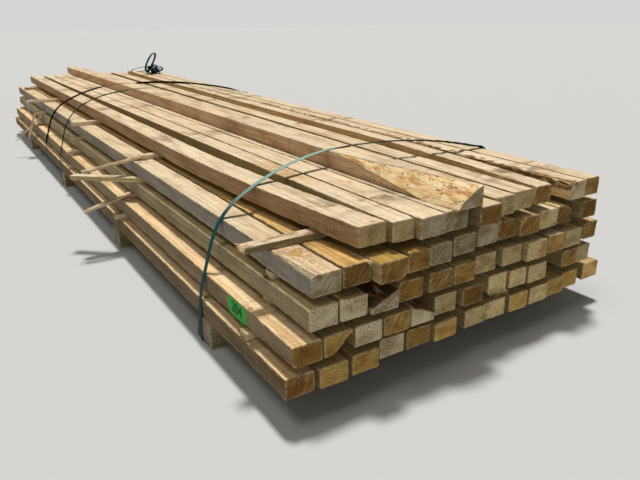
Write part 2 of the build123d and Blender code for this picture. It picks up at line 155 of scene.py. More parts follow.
@dataclass
class Paint:
    """A material while it is made. Its colour is laid on in coats, in patterns that follow one place for each point."""

    name: str
    roughness: float
    specular: float = 0.5

    def __post_init__(self) -> None:
        """Make the empty material."""
        self.material = bpy.data.materials.new(self.name)
        self.material.use_nodes = True
        self.tree = self.material.node_tree
        self.shader = self.tree.nodes["Principled BSDF"]
        self.shader.inputs["Roughness"].default_value = self.roughness
        self.shader.inputs["Specular IOR Level"].default_value = self.specular

    def add(self, kind: str, inputs: dict | None = None) -> bpy.types.Node:
        """Add a node to the material."""
        return add(self.tree, kind, inputs)

    def start_timber(self) -> None:
        """Start from the tone of each face, with patterns placed in the log, in metres from its pith."""
        self.colour = self.add("Attribute", {"attribute_name": "tone"}).outputs["Color"]
        self.place = self.add("Attribute", {"attribute_name": "log"}).outputs["Vector"]

    def start_plain(self, hex_colour: str) -> None:
        """Start from one colour, with patterns placed in the stack.

        Args:
            hex_colour: The colour in sRGB.
        """
        base = self.add("RGB")
        base.outputs[0].default_value = linear(hex_colour)
        self.colour = base.outputs[0]
        self.place = self.add("TexCoord").outputs["Object"]

    def kept(self, name: str) -> bpy.types.NodeSocket:
        """A value that is kept on the mesh."""
        return self.add("Attribute", {"attribute_name": name}).outputs["Fac"]

    def facing_up(self) -> bpy.types.NodeSocket:
        """How far the surface faces up, from -1 to 1."""
        return self.add("SeparateXYZ", {0: self.add("NewGeometry").outputs["Normal"]}).outputs[2]

    def uneven(
        self, size_mm: Triple, levels: Pair, span: Pair = (0.3, 0.7), place: bpy.types.NodeSocket | None = None
    ) -> bpy.types.NodeSocket:
        """A value that wanders between two levels over the surface.

        Args:
            size_mm: How large a patch is, along x, y and z.
            levels: The values at the two ends.
            span: The part of the noise that runs from one level to the other.
            place: Where each point is, in metres, if it isn't the paint's own place.

        Returns:
            The value.
        """
        per_metre = [1000 / size for size in size_mm]
        place = self.place if place is None else place
        spread = self.add("VectorMath", {"operation": "MULTIPLY", 0: place, 1: per_metre})
        patches = self.add("TexNoise", {"Scale": 1.0, "Detail": 3.0, "Vector": spread.outputs[0]})
        return self.spanned(patches.outputs[0], span, levels)

    def spanned(self, value: bpy.types.NodeSocket, span: Pair, levels: Pair = (0.0, 1.0)) -> bpy.types.NodeSocket:
        """A value that runs from one level to the other while another crosses a span.

        Args:
            value: The other value.
            span: Where the run starts and ends.
            levels: The values at the two ends.

        Returns:
            The value.
        """
        ends = {"From Min": span[0], "From Max": span[1], "To Min": levels[0], "To Max": levels[1]}
        return self.add("MapRange", {**ends, "Value": value}).outputs[0]

    def within(self, share: bpy.types.NodeSocket, mask: bpy.types.NodeSocket | float) -> bpy.types.NodeSocket:
        """A share that holds only as far as a mask lets it."""
        return self.add("Math", {"operation": "MULTIPLY", "use_clamp": True, 0: share, 1: mask}).outputs[0]

    def total(self, first: bpy.types.NodeSocket, second: bpy.types.NodeSocket | float) -> bpy.types.NodeSocket:
        """The sum of two values."""
        return self.add("Math", {"operation": "ADD", 0: first, 1: second}).outputs[0]

    def scale(self, value: bpy.types.NodeSocket) -> None:
        """Darken or lighten the colour by a value about one."""
        mixed = {"data_type": "RGBA", "blend_type": "MULTIPLY", 0: 1.0, 6: self.colour, 7: value}
        self.colour = self.add("Mix", mixed).outputs[2]

    def cover(self, share: bpy.types.NodeSocket, hex_colour: str, blend: str = "MIX") -> None:
        """Lay another colour over it.

        Args:
            share: How much of the new colour shows.
            hex_colour: The new colour in sRGB.
            blend: How it goes on, such as MULTIPLY for a stain.
        """
        mixed = {"data_type": "RGBA", "blend_type": blend, 0: share, 6: self.colour, 7: linear(hex_colour)}
        self.colour = self.add("Mix", mixed).outputs[2]

    def finish(
        self, relief: bpy.types.NodeSocket | None = None, strength: float = 1.0, depth_mm: float = 1.0
    ) -> bpy.types.Material:
        """Give the shader its colour and its relief.

        Args:
            relief: The height of the relief, if there is one.
            strength: How strongly it shows.
            depth_mm: How deep it is.

        Returns:
            The material.
        """
        self.tree.links.new(self.colour, self.shader.inputs["Base Color"])
        if relief is not None:
            bump = self.add("Bump", {"Strength": strength, "Distance": depth_mm * MM, "Height": relief})
            self.tree.links.new(bump.outputs[0], self.shader.inputs["Normal"])
        return self.material


@dataclass(frozen=True)
class SawnSoftwood:
    """Fir or pine, rough sawn and air dried.

    To the eye: straw to honey wood without shine. The late wood of each growth ring is darker, which reads as arcs on
    the ends and as long streaks on the faces. The saw leaves ridges across the grain. The edges are pale, partly from
    fuzzy torn fibres and partly from a painted highlight.
    """

    name: str
    # Real rings are 2 to 5 mm; they are drawn wider so that they show from 3 m away.
    ring_mm: float = 9.0
    streak_mm: float = 8.0
    # Real saw ridges are 3 to 6 mm apart and are drawn wider for the same reason.
    ridge_mm: float = 10.0
    knot_gap_mm: float = 190.0
    slat_mark_reach: Pair = (0.022, 0.018)
    roughness: float = 0.86
    specular: float = 0.25

    def build(self, is_end: bool) -> bpy.types.Material:
        """Make the material for the sawn-off ends or for the long faces.

        Args:
            is_end: Whether it is for the ends.

        Returns:
            The material.
        """
        # The pale edges are partly torn fibres and partly a painted highlight, and are strongest on the long faces.
        kind, frayed_and_lit = ("_end_grain", 0.45) if is_end else ("_sawn_face", 0.7)
        paint = Paint(self.name + kind, self.roughness, self.specular)
        paint.start_timber()
        relief = self.end_grain(paint) if is_end else self.long_grain(paint)
        self.bark_scabs(paint)
        # Pale torn fibres on the worn edges, which also paint a highlight where light would catch the edges.
        fray_and_highlight = paint.uneven((9, 30, 9), (0.0, frayed_and_lit), (0.42, 0.66))
        paint.cover(paint.within(fray_and_highlight, paint.kept("worn")), "#E6D2AE")
        return paint.finish(relief, strength=0.6, depth_mm=1.5)

    def long_grain(self, paint: Paint) -> bpy.types.NodeSocket:
        """Streaks, saw ridges, dirt, knots, drying checks and resin of a long face.

        Args:
            paint: The material so far.

        Returns:
            The height of the relief.
        """
        streaks = paint.uneven((self.streak_mm, 420, self.streak_mm), (0.76, 1.13), (0.35, 0.65))
        paint.scale(streaks)
        slanted = paint.add("Mapping", {"Rotation": (0.2, 0.0, 0.12), "Vector": paint.place}).outputs[0]
        ridges = paint.uneven((80, self.ridge_mm, 80), (0.84, 1.08), place=slanted)
        paint.scale(ridges)
        paint.cover(paint.uneven((120, 900, 120), (0.0, 0.5)), "#F2D8BC", "MULTIPLY")
        paint.cover(paint.uneven((45, 260, 45), (0.0, 0.6), (0.5, 0.68)), "#C4B496", "MULTIPLY")
        self.stacking_marks(paint)
        cells = paint.add("TexVoronoi", {"Scale": 1000 / self.knot_gap_mm, "Vector": paint.place})
        for reach, colour, share in ((0.09, "#C89A62", 0.5), (0.05, "#86603A", 0.6)):
            paint.cover(paint.spanned(cells.outputs["Distance"], (reach * 0.6, reach), (share, 0.0)), colour)
        paint.cover(paint.uneven((5, 130, 5), (0.0, 0.75), (0.66, 0.74)), "#7A5E40")
        paint.cover(paint.uneven((7, 26, 7), (0.0, 0.45), (0.56, 0.72)), "#C0AA86", "MULTIPLY")
        blots = paint.uneven((12, 15, 12), (0.0, 0.9), (0.4, 0.62))
        paint.cover(paint.within(blots, paint.kept("stain")), "#B58546")
        return paint.total(ridges, streaks)

    def bark_scabs(self, paint: Paint) -> None:
        """Bark left along an edge, with paler flecks where its outer skin is off.

        Args:
            paint: The material so far.
        """
        ragged = paint.uneven((22, 60, 22), (-0.35, 0.35))
        scabs = paint.spanned(paint.total(ragged, paint.kept("bark")), (0.5, 0.6))
        paint.cover(scabs, "#6E5232")
        pale = paint.uneven((9, 30, 9), (0.0, 0.9), (0.45, 0.62))
        paint.cover(paint.within(scabs, pale), "#B08A55")

    def stacking_marks(self, paint: Paint) -> None:
        """Patchy grey marks on the tops, where slats lay across the beams while they dried.

        Args:
            paint: The material so far.
        """
        low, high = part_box("beams_layer_5")
        before, after = self.slat_mark_reach
        stops = [(0.0, 0.0)]
        for slat in solids_of("slats_level_4"):
            middle = ((slat.low().y + slat.high().y) / 2 - low.y) / (high.y - low.y)
            stops += [(middle - before, 0.0), (middle, 1.0), (middle + after, 0.0)]
        place = paint.add("TexCoord").outputs["Object"]
        along = paint.spanned(paint.add("SeparateXYZ", {0: place}).outputs[1], (low.y, high.y))
        bands = paint.add("ValToRGB", {"stops": stops, "Fac": along}).outputs[0]
        patchy = paint.uneven((75, 55, 75), (0.0, 1.0), (0.44, 0.6), place)
        paint.cover(paint.within(paint.within(bands, patchy), paint.facing_up()), "#9A8F7A", "MULTIPLY")

    def end_grain(self, paint: Paint) -> bpy.types.NodeSocket:
        """Growth rings, saw scratches, heartwood and dirt of an end.

        Args:
            paint: The material so far.

        Returns:
            The height of the relief.
        """
        across = paint.add("VectorMath", {"operation": "MULTIPLY", 0: paint.place, 1: (1, 0, 1)})
        distance = paint.add("VectorMath", {"operation": "LENGTH", 0: across.outputs[0]})
        bent = paint.total(distance.outputs[1], paint.uneven((70, 150, 70), (0.0, 0.03)))
        count = paint.add("Math", {"operation": "DIVIDE", 0: bent, 1: self.ring_mm * MM})
        phase = paint.add("Math", {"operation": "FRACT", 0: count.outputs[0]})
        stops = [(0.0, 0.0), (0.5, 0.15), (0.8, 1.0), (0.9, 0.8), (1.0, 0.0)]
        late = paint.add("ValToRGB", {"stops": stops, "Fac": phase.outputs[0]})
        strength = paint.uneven((45, 60, 45), (0.25, 1.0))
        paint.cover(paint.within(late.outputs[0], strength), "#B48A5A", "MULTIPLY")
        slanted = paint.add("Mapping", {"Rotation": (0.0, -0.7, 0.0), "Vector": paint.place}).outputs[0]
        scratches = paint.uneven((4.5, 40, 90), (0.86, 1.1), place=slanted)
        paint.scale(scratches)
        raked = paint.uneven((110, 500, 110), (0.1, 0.8), (0.4, 0.62))
        bright = paint.uneven((4, 40, 55), (0.0, 1.0), (0.54, 0.72), slanted)
        paint.cover(paint.within(raked, bright), "#DCCBA0")
        paint.cover(paint.uneven((60, 70, 45), (0.0, 0.6), (0.45, 0.65)), "#B48E58", "MULTIPLY")
        paint.cover(paint.uneven((7, 7, 7), (0.0, 0.35), (0.55, 0.7)), "#8C7350", "MULTIPLY")
        return scratches


@dataclass(frozen=True)
class LogSurface:
    """The outside of the log where the saw ran out of it, with bark left on in places.

    To the eye: smooth yellow wood with orange and brown patches and fine dark cracks, and scabs of nearly black bark
    that stand off it.
    """

    name: str
    fleck_mm: float = 22.0
    roughness: float = 0.7
    specular: float = 0.3

    def build(self) -> bpy.types.Material:
        """Make the material.

        Returns:
            The material.
        """
        paint = Paint(self.name, self.roughness, self.specular)
        paint.start_timber()
        paint.cover(paint.uneven((45, 120, 45), (0.0, 0.6), (0.42, 0.62)), "#E0A95C")
        paint.cover(paint.uneven((18, 50, 18), (0.0, 0.8), (0.46, 0.62)), "#F4E0B2")
        paint.cover(paint.uneven((26, 95, 26), (0.0, 0.75), (0.54, 0.68)), "#B97C40")
        paint.scale(paint.uneven((5, 60, 5), (0.84, 1.1)))
        spread = paint.add("VectorMath", {"operation": "MULTIPLY", 0: paint.place, 1: (26, 8, 26)})
        wander = paint.add("TexNoise", {"Scale": 1.0, "Detail": 4.0, "Roughness": 0.65, "Vector": spread.outputs[0]})
        middle = paint.total(wander.outputs[0], -0.5)
        gap = paint.add("Math", {"operation": "ABSOLUTE", 0: middle})
        paint.cover(paint.spanned(gap.outputs[0], (0.004, 0.02), (0.9, 0.0)), "#7C4A24")
        flecks = paint.uneven((self.fleck_mm, self.fleck_mm * 2.5, self.fleck_mm), (0.0, 1.0), (0.2, 0.8))
        height = paint.total(flecks, paint.kept("bark"))
        paint.cover(paint.spanned(paint.total(height, middle), (0.86, 0.94)), Tone.BARK.value)
        # Pale edges: partly torn fibres, partly a painted highlight where the edges catch the light.
        paint.cover(paint.within(paint.kept("worn"), 0.5), "#E8C890")
        return paint.finish(height, strength=0.8, depth_mm=3)


@dataclass(frozen=True)
class Strapping:
    """Extruded polyester strapping: smooth and nearly dull, with lengthwise scuffs.

    Where it faces up, a painted reflection of the sky makes it paler.
    """

    name: str
    colour: str
    scuffed: str
    roughness: float = 0.55
    specular: float = 0.1
    # How far the upward faces are paled, as a painted reflection of the sky.
    painted_sky_sheen: float = 0.0

    def build(self) -> bpy.types.Material:
        """Make the material.

        Returns:
            The material.
        """
        paint = Paint(self.name, self.roughness, self.specular)
        paint.start_plain(self.colour)
        paint.cover(paint.uneven((30, 5, 30), (0.0, 0.6), (0.45, 0.7)), self.scuffed)
        # Painted reflection: faces that look up are paled as if they mirrored the bright sky.
        paint.cover(paint.spanned(paint.facing_up(), (0.72, 0.98), (0.0, self.painted_sky_sheen)), "#A2BDB0")
        return paint.finish()


@dataclass(frozen=True)
class PlainPlastic:
    """Thin moulded or blown plastic of one colour, with creases that show as soft streaks of another."""

    name: str
    colour: str
    crease: str
    roughness: float
    specular: float = 0.2

    def build(self) -> bpy.types.Material:
        """Make the material.

        Returns:
            The material.
        """
        paint = Paint(self.name, self.roughness, self.specular)
        paint.start_plain(self.colour)
        paint.cover(paint.uneven((24, 24, 12), (0.0, 0.7), (0.45, 0.65)), self.crease)
        return paint.finish()


@dataclass
class Solid:
    """One closed solid of a node, in metres."""

    points: list[Vector]
    faces: list[list[int]]

    def low(self) -> Vector:
        """Lowest corner of the solid's box."""
        return Vector(min(p[i] for p in self.points) for i in range(3))

    def high(self) -> Vector:
        """Highest corner of the solid's box."""
        return Vector(max(p[i] for p in self.points) for i in range(3))

    def longest_edge(self) -> Vector:
        """Find which way the solid runs.

        Returns:
            Direction of its longest edge, along the stack or to the right.
        """
        ends = ((self.points[a], self.points[b]) for face in self.faces for a, b in zip(face, face[1:] + face[:1]))
        first, second = max(ends, key=lambda pair: (pair[0] - pair[1]).length)
        along = (second - first).normalized()
        return -along if along.y + 0.5 * along.x < 0 else along


def solids_of(node: str) -> list[Solid]:
    """Split a node into its solids, with flat faces whole.

    Args:
        node: The node's name.

    Returns:
        Its solids from left to right, or from near to far where they lie in a row along the stack.
    """
    grid = bmesh.new()
    grid.from_mesh(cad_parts[node].data)
    bmesh.ops.remove_doubles(grid, verts=grid.verts, dist=0.01 * MM)
    bmesh.ops.dissolve_limit(grid, angle_limit=math.radians(0.5), verts=grid.verts, edges=grid.edges)
    left = set(grid.faces)
    found = []
    while left:
        group = []
        front = [left.pop()]
        while front:
            face = front.pop()
            group.append(face)
            near = {other for edge in face.edges for other in edge.link_faces} & left
            left -= near
            front += near
        places = {v: i for i, v in enumerate(dict.fromkeys(v for face in group for v in face.verts))}
        found.append(Solid([v.co.copy() for v in places], [[places[v] for v in face.verts] for face in group]))
    grid.free()
    spread = [max(s.low()[i] for s in found) - min(s.low()[i] for s in found) for i in (0, 1)]
    return sorted(found, key=lambda s: s.low()[0 if spread[0] > spread[1] else 1])


def noise_share(place: Vector) -> float:
    """Noise at a place, as a share about a half."""
    return 0.5 + 0.5 * noise.noise(place)


def place_piece(name: str, mesh: bpy.types.Mesh, node: str = "") -> bpy.types.Object:
    """Put a mesh in the scene as a piece that rides on the stack.

    Args:
        name: The piece's name.
        mesh: Its mesh.
        node: The node that it takes the place of, if it does.

    Returns:
        The piece.
    """
    made = bpy.data.objects.new(name, mesh)
    bpy.context.scene.collection.objects.link(made)
    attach(made, "root")
    if node:
        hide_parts(node)
    return made


def finish_piece(
    grid: bmesh.types.BMesh, name: str, material: bpy.types.Material, node: str = "", sharp: float = 30
) -> bpy.types.Object:
    """Turn a grid into a piece of one material.

    Args:
        grid: Its faces. The grid is used up.
        name: The piece's name.
        material: What it is made of.
        node: The node that it takes the place of, if it does.
        sharp: Degrees from which its edges are sharp. At 0 its faces are flat, and at 180 no edge is sharp.

    Returns:
        The piece.
    """
    mesh = bpy.data.meshes.new(name)
    grid.to_mesh(mesh)
    grid.free()
    mesh.materials.append(material)
    for polygon in mesh.polygons:
        polygon.use_smooth = sharp > 0
    if 0 < sharp < 180:
        mesh.set_sharp_from_angle(angle=math.radians(sharp))
    return place_piece(name, mesh, node)


def join_lines(grid: bmesh.types.BMesh, lines: list[list[bmesh.types.BMVert]], closed: bool) -> None:
    """Lay faces between lines of points.

    Args:
        grid: The grid that holds the points.
        lines: The points of each line.
        closed: Whether each line is a ring, and the last line meets the first.
    """
    for first, second in zip(lines, lines[1:] + (lines[:1] if closed else [])):
        for i in range(len(first) if closed else len(first) - 1):
            after = (i + 1) % len(first)
            grid.faces.new((first[i], first[after], second[after], second[i]))


@dataclass
class Dressing:
    """How one timber looks: tones of its sides, its pith as shares of width and height, and what is on its faces.

    A resin stain is its distance from the near end, its share of the width and its radius. Bark on the upper left
    edge is where it starts and ends and how far down it reaches.
    """

    end: Tone = Tone.STRAW
    pith: Pair = (0.5, -0.5)
    top: Tone = Tone.STRAW
    left: Tone = Tone.KHAKI
    right: Tone = Tone.STRAW
    under: Tone = Tone.OLIVE
    wane: Tone = Tone.HONEY
    stains: tuple[Triple, ...] = ()
    bark: float = 0.0
    bark_edge: Triple | None = None

    def tone(self, side: Side) -> Tone:
        """Tone of one side, whose field has the side's name."""
        return getattr(self, side.name.lower())


@dataclass
class Timber:
    """A sawn timber with worn edges and uneven faces, made from its plain solid."""

    name: str
    solid: Solid
    dressing: Dressing
    number: int
    wear_mm: float = 3.4
    uneven_mm: float = 1.2
    wane_mm: float = 4.0
    shed_bark_mm: float = 9.0
    edge_bark_mm: float = 13.0
    bark_fades: Pair = (0.3, 0.6)
    fine_until: float = 1.5
    fine_step: float = 0.045
    coarse_step: float = 0.2
    end_step: float = 0.018
    end_margin: float = 4 * MM
    across_step: float = 0.02
    worn_reach: float = 0.008
    swells_per_metre: Triple = (14.0, 5.0, 14.0)
    pits_per_metre: float = 60.0
    # Cosine from which a face is square to a direction, and angles in degrees.
    square: float = 0.985
    edge_from: float = 28.0
    worn_from: float = 15.0
    sharp_from: float = 42.0

    def __post_init__(self) -> None:
        """Find the timber's directions along, across and up, its near left bottom corner and its size."""
        along = self.solid.longest_edge()
        across = along.cross(UP).normalized()
        self.axes = (along, across, across.cross(along))
        spans = [[p.dot(axis) for p in self.solid.points] for axis in self.axes]
        self.corner = sum((axis * min(span) for axis, span in zip(self.axes, spans)), Vector())
        self.size = [max(span) - min(span) for span in spans]

    def within(self, point: Vector) -> Triple:
        """How far a point lies along, across and up from the corner."""
        return tuple((point - self.corner).dot(axis) for axis in self.axes)

    def side_of(self, normal: Vector) -> Side:
        """Name the side that a face belongs to.

        Args:
            normal: The face's normal.

        Returns:
            The side, or WANE where the face is square to none of them.
        """
        along, across, up = (normal.dot(axis) for axis in self.axes)
        if abs(along) >= self.square:
            return Side.END
        if abs(across) >= self.square:
            return Side.RIGHT if across > 0 else Side.LEFT
        if abs(up) >= self.square:
            return Side.TOP if up > 0 else Side.UNDER
        return Side.WANE

    def cuts(self) -> list[tuple[Vector, float]]:
        """Choose where the faces are divided, closest together at the near end.

        Returns:
            Directions of the cuts and their distances from the corner.
        """
        last = self.size[0] - self.end_step
        places = [self.end_margin, self.end_step]
        while places[-1] < last:
            step = self.end_step if places[-1] < 4 * self.end_step else self.fine_step
            places.append(places[-1] + (step if places[-1] < self.fine_until else self.coarse_step))
        places = [p for p in places if p < last] + [last, self.size[0] - self.end_margin]
        cuts = [(self.axes[0], place) for place in places]
        for axis, reach in zip(self.axes[1:], self.size[1:]):
            count = max(2, round(reach / self.across_step))
            cuts += [(axis, reach * i / count) for i in range(1, count)]
            cuts += [(axis, self.worn_reach), (axis, reach - self.worn_reach)]
        return cuts

    def build(self) -> bmesh.types.BMesh:
        """Bevel, divide and roughen the plain solid.

        Returns:
            The mesh, whose material numbers name the sides.
        """
        grid = bmesh.new()
        verts = [grid.verts.new(p) for p in self.solid.points]
        for face in self.solid.faces:
            grid.faces.new([verts[i] for i in face])
        grid.normal_update()
        for face in grid.faces:
            face.material_index = self.side_of(face.normal).value
        edges = self.folds(grid, self.edge_from)
        bmesh.ops.bevel(
            grid, geom=edges, offset=self.wear_mm * MM, segments=2, profile=0.6, affect="EDGES", clamp_overlap=True
        )
        for axis, place in self.cuts():
            parts = grid.verts[:] + grid.edges[:] + grid.faces[:]
            spot = self.corner + axis * place
            bmesh.ops.bisect_plane(grid, geom=parts, dist=0.001 * MM, plane_co=spot, plane_no=axis)
        grid.normal_update()
        self.roughen(grid)
        return grid

    def folds(self, grid: bmesh.types.BMesh, degrees: float) -> list[bmesh.types.BMEdge]:
        """Edges where a mesh folds by more than an angle."""
        return [e for e in grid.edges if len(e.link_faces) == 2 and e.calc_face_angle() > math.radians(degrees)]

    def roughen(self, grid: bmesh.types.BMesh) -> None:
        """Push the surface in by uneven amounts, most at the edges and under bark, and mark the edges as worn.

        Args:
            grid: The divided mesh.
        """
        worn = grid.verts.layers.float.new("worn")
        for edge in self.folds(grid, self.worn_from):
            for vert in edge.verts:
                vert[worn] = 1.0
        seed = Vector((self.number * 3.7, self.number * 1.3, SEED))
        across, along, up = self.swells_per_metre
        moves = []
        for vert in grid.verts:
            sides = {face.material_index for face in vert.link_faces}
            far = self.within(vert.co)
            broad = noise_share(Vector((far[1] * across, far[0] * along, far[2] * up)) + seed)
            small = noise_share(vert.co * self.pits_per_metre + seed)
            # The wear comes and goes along an edge: it starts a little above the noise's low end.
            depth = self.uneven_mm * broad + self.wear_mm * vert[worn] * max(0.0, small * 1.8 - 0.5)
            if Side.WANE.value in sides and not vert[worn]:
                depth = self.wane_mm * (small - 0.35) - self.shed_bark_mm * self.dressing.bark * small * broad
            depth += self.edge_bark_mm * self.barked(far) * small
            moves.append(vert.co - vert.normal * max(0.0, depth) * MM)
        low, high = self.solid.low(), self.solid.high()
        for vert, place in zip(grid.verts, moves):
            vert.co = [min(max(place[i], low[i]), high[i]) for i in range(3)]

    def barked(self, far: Triple) -> float:
        """How much bark there is on the upper left edge at a place.

        Args:
            far: Distances along, across and up from the corner.

        Returns:
            A share from 0 to 1.
        """
        if self.dressing.bark_edge is None:
            return 0.0
        start, end, deep = self.dressing.bark_edge
        rise, fall = self.bark_fades
        fade = min(1.0, max(0.0, (far[0] - start) / rise)) * min(1.0, max(0.0, (end - far[0]) / fall))
        below = (self.size[2] - far[2]) + far[1]
        return fade * max(0.0, 1 - below / (2 * deep))

    def stained(self, far: Triple) -> float:
        """How stained with resin the top is at a place.

        Args:
            far: Distances along, across and up from the corner.

        Returns:
            A share that is 0 off the stains and just over 1 in their middles.
        """
        shares = [0.0]
        if far[2] > 0.9 * self.size[2]:
            for along, across, radius in self.dressing.stains:
                off = math.hypot(far[0] - along, (far[1] - self.size[1] * across) * 2)
                shares.append(1.3 - 1.3 * off / radius)
        return max(shares)

    def dress(self, materials: list[bpy.types.Material], slot: str, node: str) -> None:
        """Make the piece, with its place in the log and its tones kept as attributes.

        Args:
            materials: Materials for the ends, the sawn faces and the log's surface.
            slot: The material slot of the record. It is not used.
            node: The node that it takes the place of.
        """
        grid = self.build()
        mesh = bpy.data.meshes.new(self.name)
        grid.to_mesh(mesh)
        grid.free()
        for material in materials:
            mesh.materials.append(material)
        self.paint(mesh)
        for polygon in mesh.polygons:
            polygon.material_index = {Side.END: 0, Side.WANE: 2}.get(Side(polygon.material_index), 1)
            polygon.use_smooth = True
        mesh.set_sharp_from_angle(angle=math.radians(self.sharp_from))
        place_piece(self.name, mesh, node)

    def paint(self, mesh: bpy.types.Mesh) -> None:
        """Keep each point's place in the log, its tone, its stains and its bark.

        Args:
            mesh: The finished mesh, whose material numbers name the sides.
        """
        # All attributes are made before any is fetched, because each new one may move the others.
        mesh.attributes.new("log", "FLOAT_VECTOR", "POINT")
        mesh.attributes.new("stain", "FLOAT", "POINT")
        mesh.attributes.new("bark", "FLOAT", "POINT")
        mesh.color_attributes.new("tone", "FLOAT_COLOR", "CORNER")
        log, stain, bark, tone = (mesh.attributes[name] for name in ("log", "stain", "bark", "tone"))
        waney = {i for face in mesh.polygons if face.material_index == Side.WANE.value for i in face.vertices}
        aside, up = (reach * share for reach, share in zip(self.size[1:], self.dressing.pith))
        for vert in mesh.vertices:
            far = self.within(vert.co)
            log.data[vert.index].vector = (far[1] - aside, far[0] + self.number * 7.3, far[2] - up)
            stain.data[vert.index].value = self.stained(far)
            bark.data[vert.index].value = max(self.barked(far), self.dressing.bark if vert.index in waney else 0.0)
        shift = 1 + 0.08 * noise.noise(Vector((self.number * 5.1, 0.3, 0.7)))
        colours = {side: [c * shift for c in linear(self.dressing.tone(side).value)[:3]] + [1.0] for side in Side}
        for polygon in mesh.polygons:
            for loop in polygon.loop_indices:
                tone.data[loop].color = colours[Side(polygon.material_index)]


@dataclass
class TimberYard:
    """Makes the timbers of each node and hides the node."""

    materials: list[bpy.types.Material]
    count: int = 0

    def dress_node(self, node: str, dressings: list[Dressing], slot: str, **settings: float) -> list[Timber]:
        """Dress every solid of a node.

        Args:
            node: The node's name.
            dressings: One for each solid, or fewer, which then repeat.
            slot: The material slot of the record. It is not used.
            settings: Sizes of the timber that differ from the usual.

        Returns:
            The timbers, in the order of the node's solids.
        """
        solids = solids_of(node)
        timbers = []
        for place, solid in enumerate(solids):
            self.count += 1
            name = node if len(solids) == 1 else f"{node}_{place + 1}"
            timber = Timber(f"{name}_dressed", solid, dressings[place % len(dressings)], self.count, **settings)
            timber.dress(self.materials, slot, node)
            timbers.append(timber)
        LOG.info("%s: %d timbers", node, len(solids))
        return timbers


@dataclass
class Slivers:
    """Torn fibres that stand out of the near end of a beam along its upper or lower edge, but not past the stack."""

    timber: Timber
    slot: str
    stack_end: float
    upper: bool = True
    count: int = 26
    start: float = 0.05
    stop: float = 0.95
    longest: float = 26 * MM
    thickest: float = 2.2 * MM
    from_edge: float = 4 * MM
    rooted: float = 6 * MM

    def dress(self, wood: bpy.types.Material) -> None:
        """Make the fibres as one piece.

        Args:
            wood: What they are made of.
        """
        draws = random.Random(SEED + self.timber.number)
        along, across, up = self.timber.axes
        height = self.timber.size[2] - self.from_edge if self.upper else self.from_edge
        grid = bmesh.new()
        for _ in range(self.count):
            share = draws.uniform(self.start, self.stop)
            root = self.timber.corner + across * (self.timber.size[1] * share) + along * self.rooted
            root = root + up * (height + draws.uniform(-3, 2) * MM)
            thick = draws.uniform(0.4, 1.0) * self.thickest
            lean = up * draws.uniform(-0.5, 0.5) + across * draws.uniform(-0.5, 0.5)
            tip = root + (lean - along).normalized() * draws.uniform(0.4, 1.0) * self.longest
            tip.y = max(tip.y, self.stack_end)
            ring = [root + across * thick, root + up * thick, root - across * thick, root - up * thick]
            base = [grid.verts.new(p) for p in ring]
            point = grid.verts.new(tip)
            for first, second in zip(base, base[1:] + base[:1]):
                grid.faces.new((first, second, point))
            grid.faces.new(base[::-1])
        bmesh.ops.recalc_face_normals(grid, faces=grid.faces)
        finish_piece(grid, self.timber.name + "_slivers", wood, sharp=0)
        LOG.info("%s: %d torn fibres", self.timber.name, self.count)


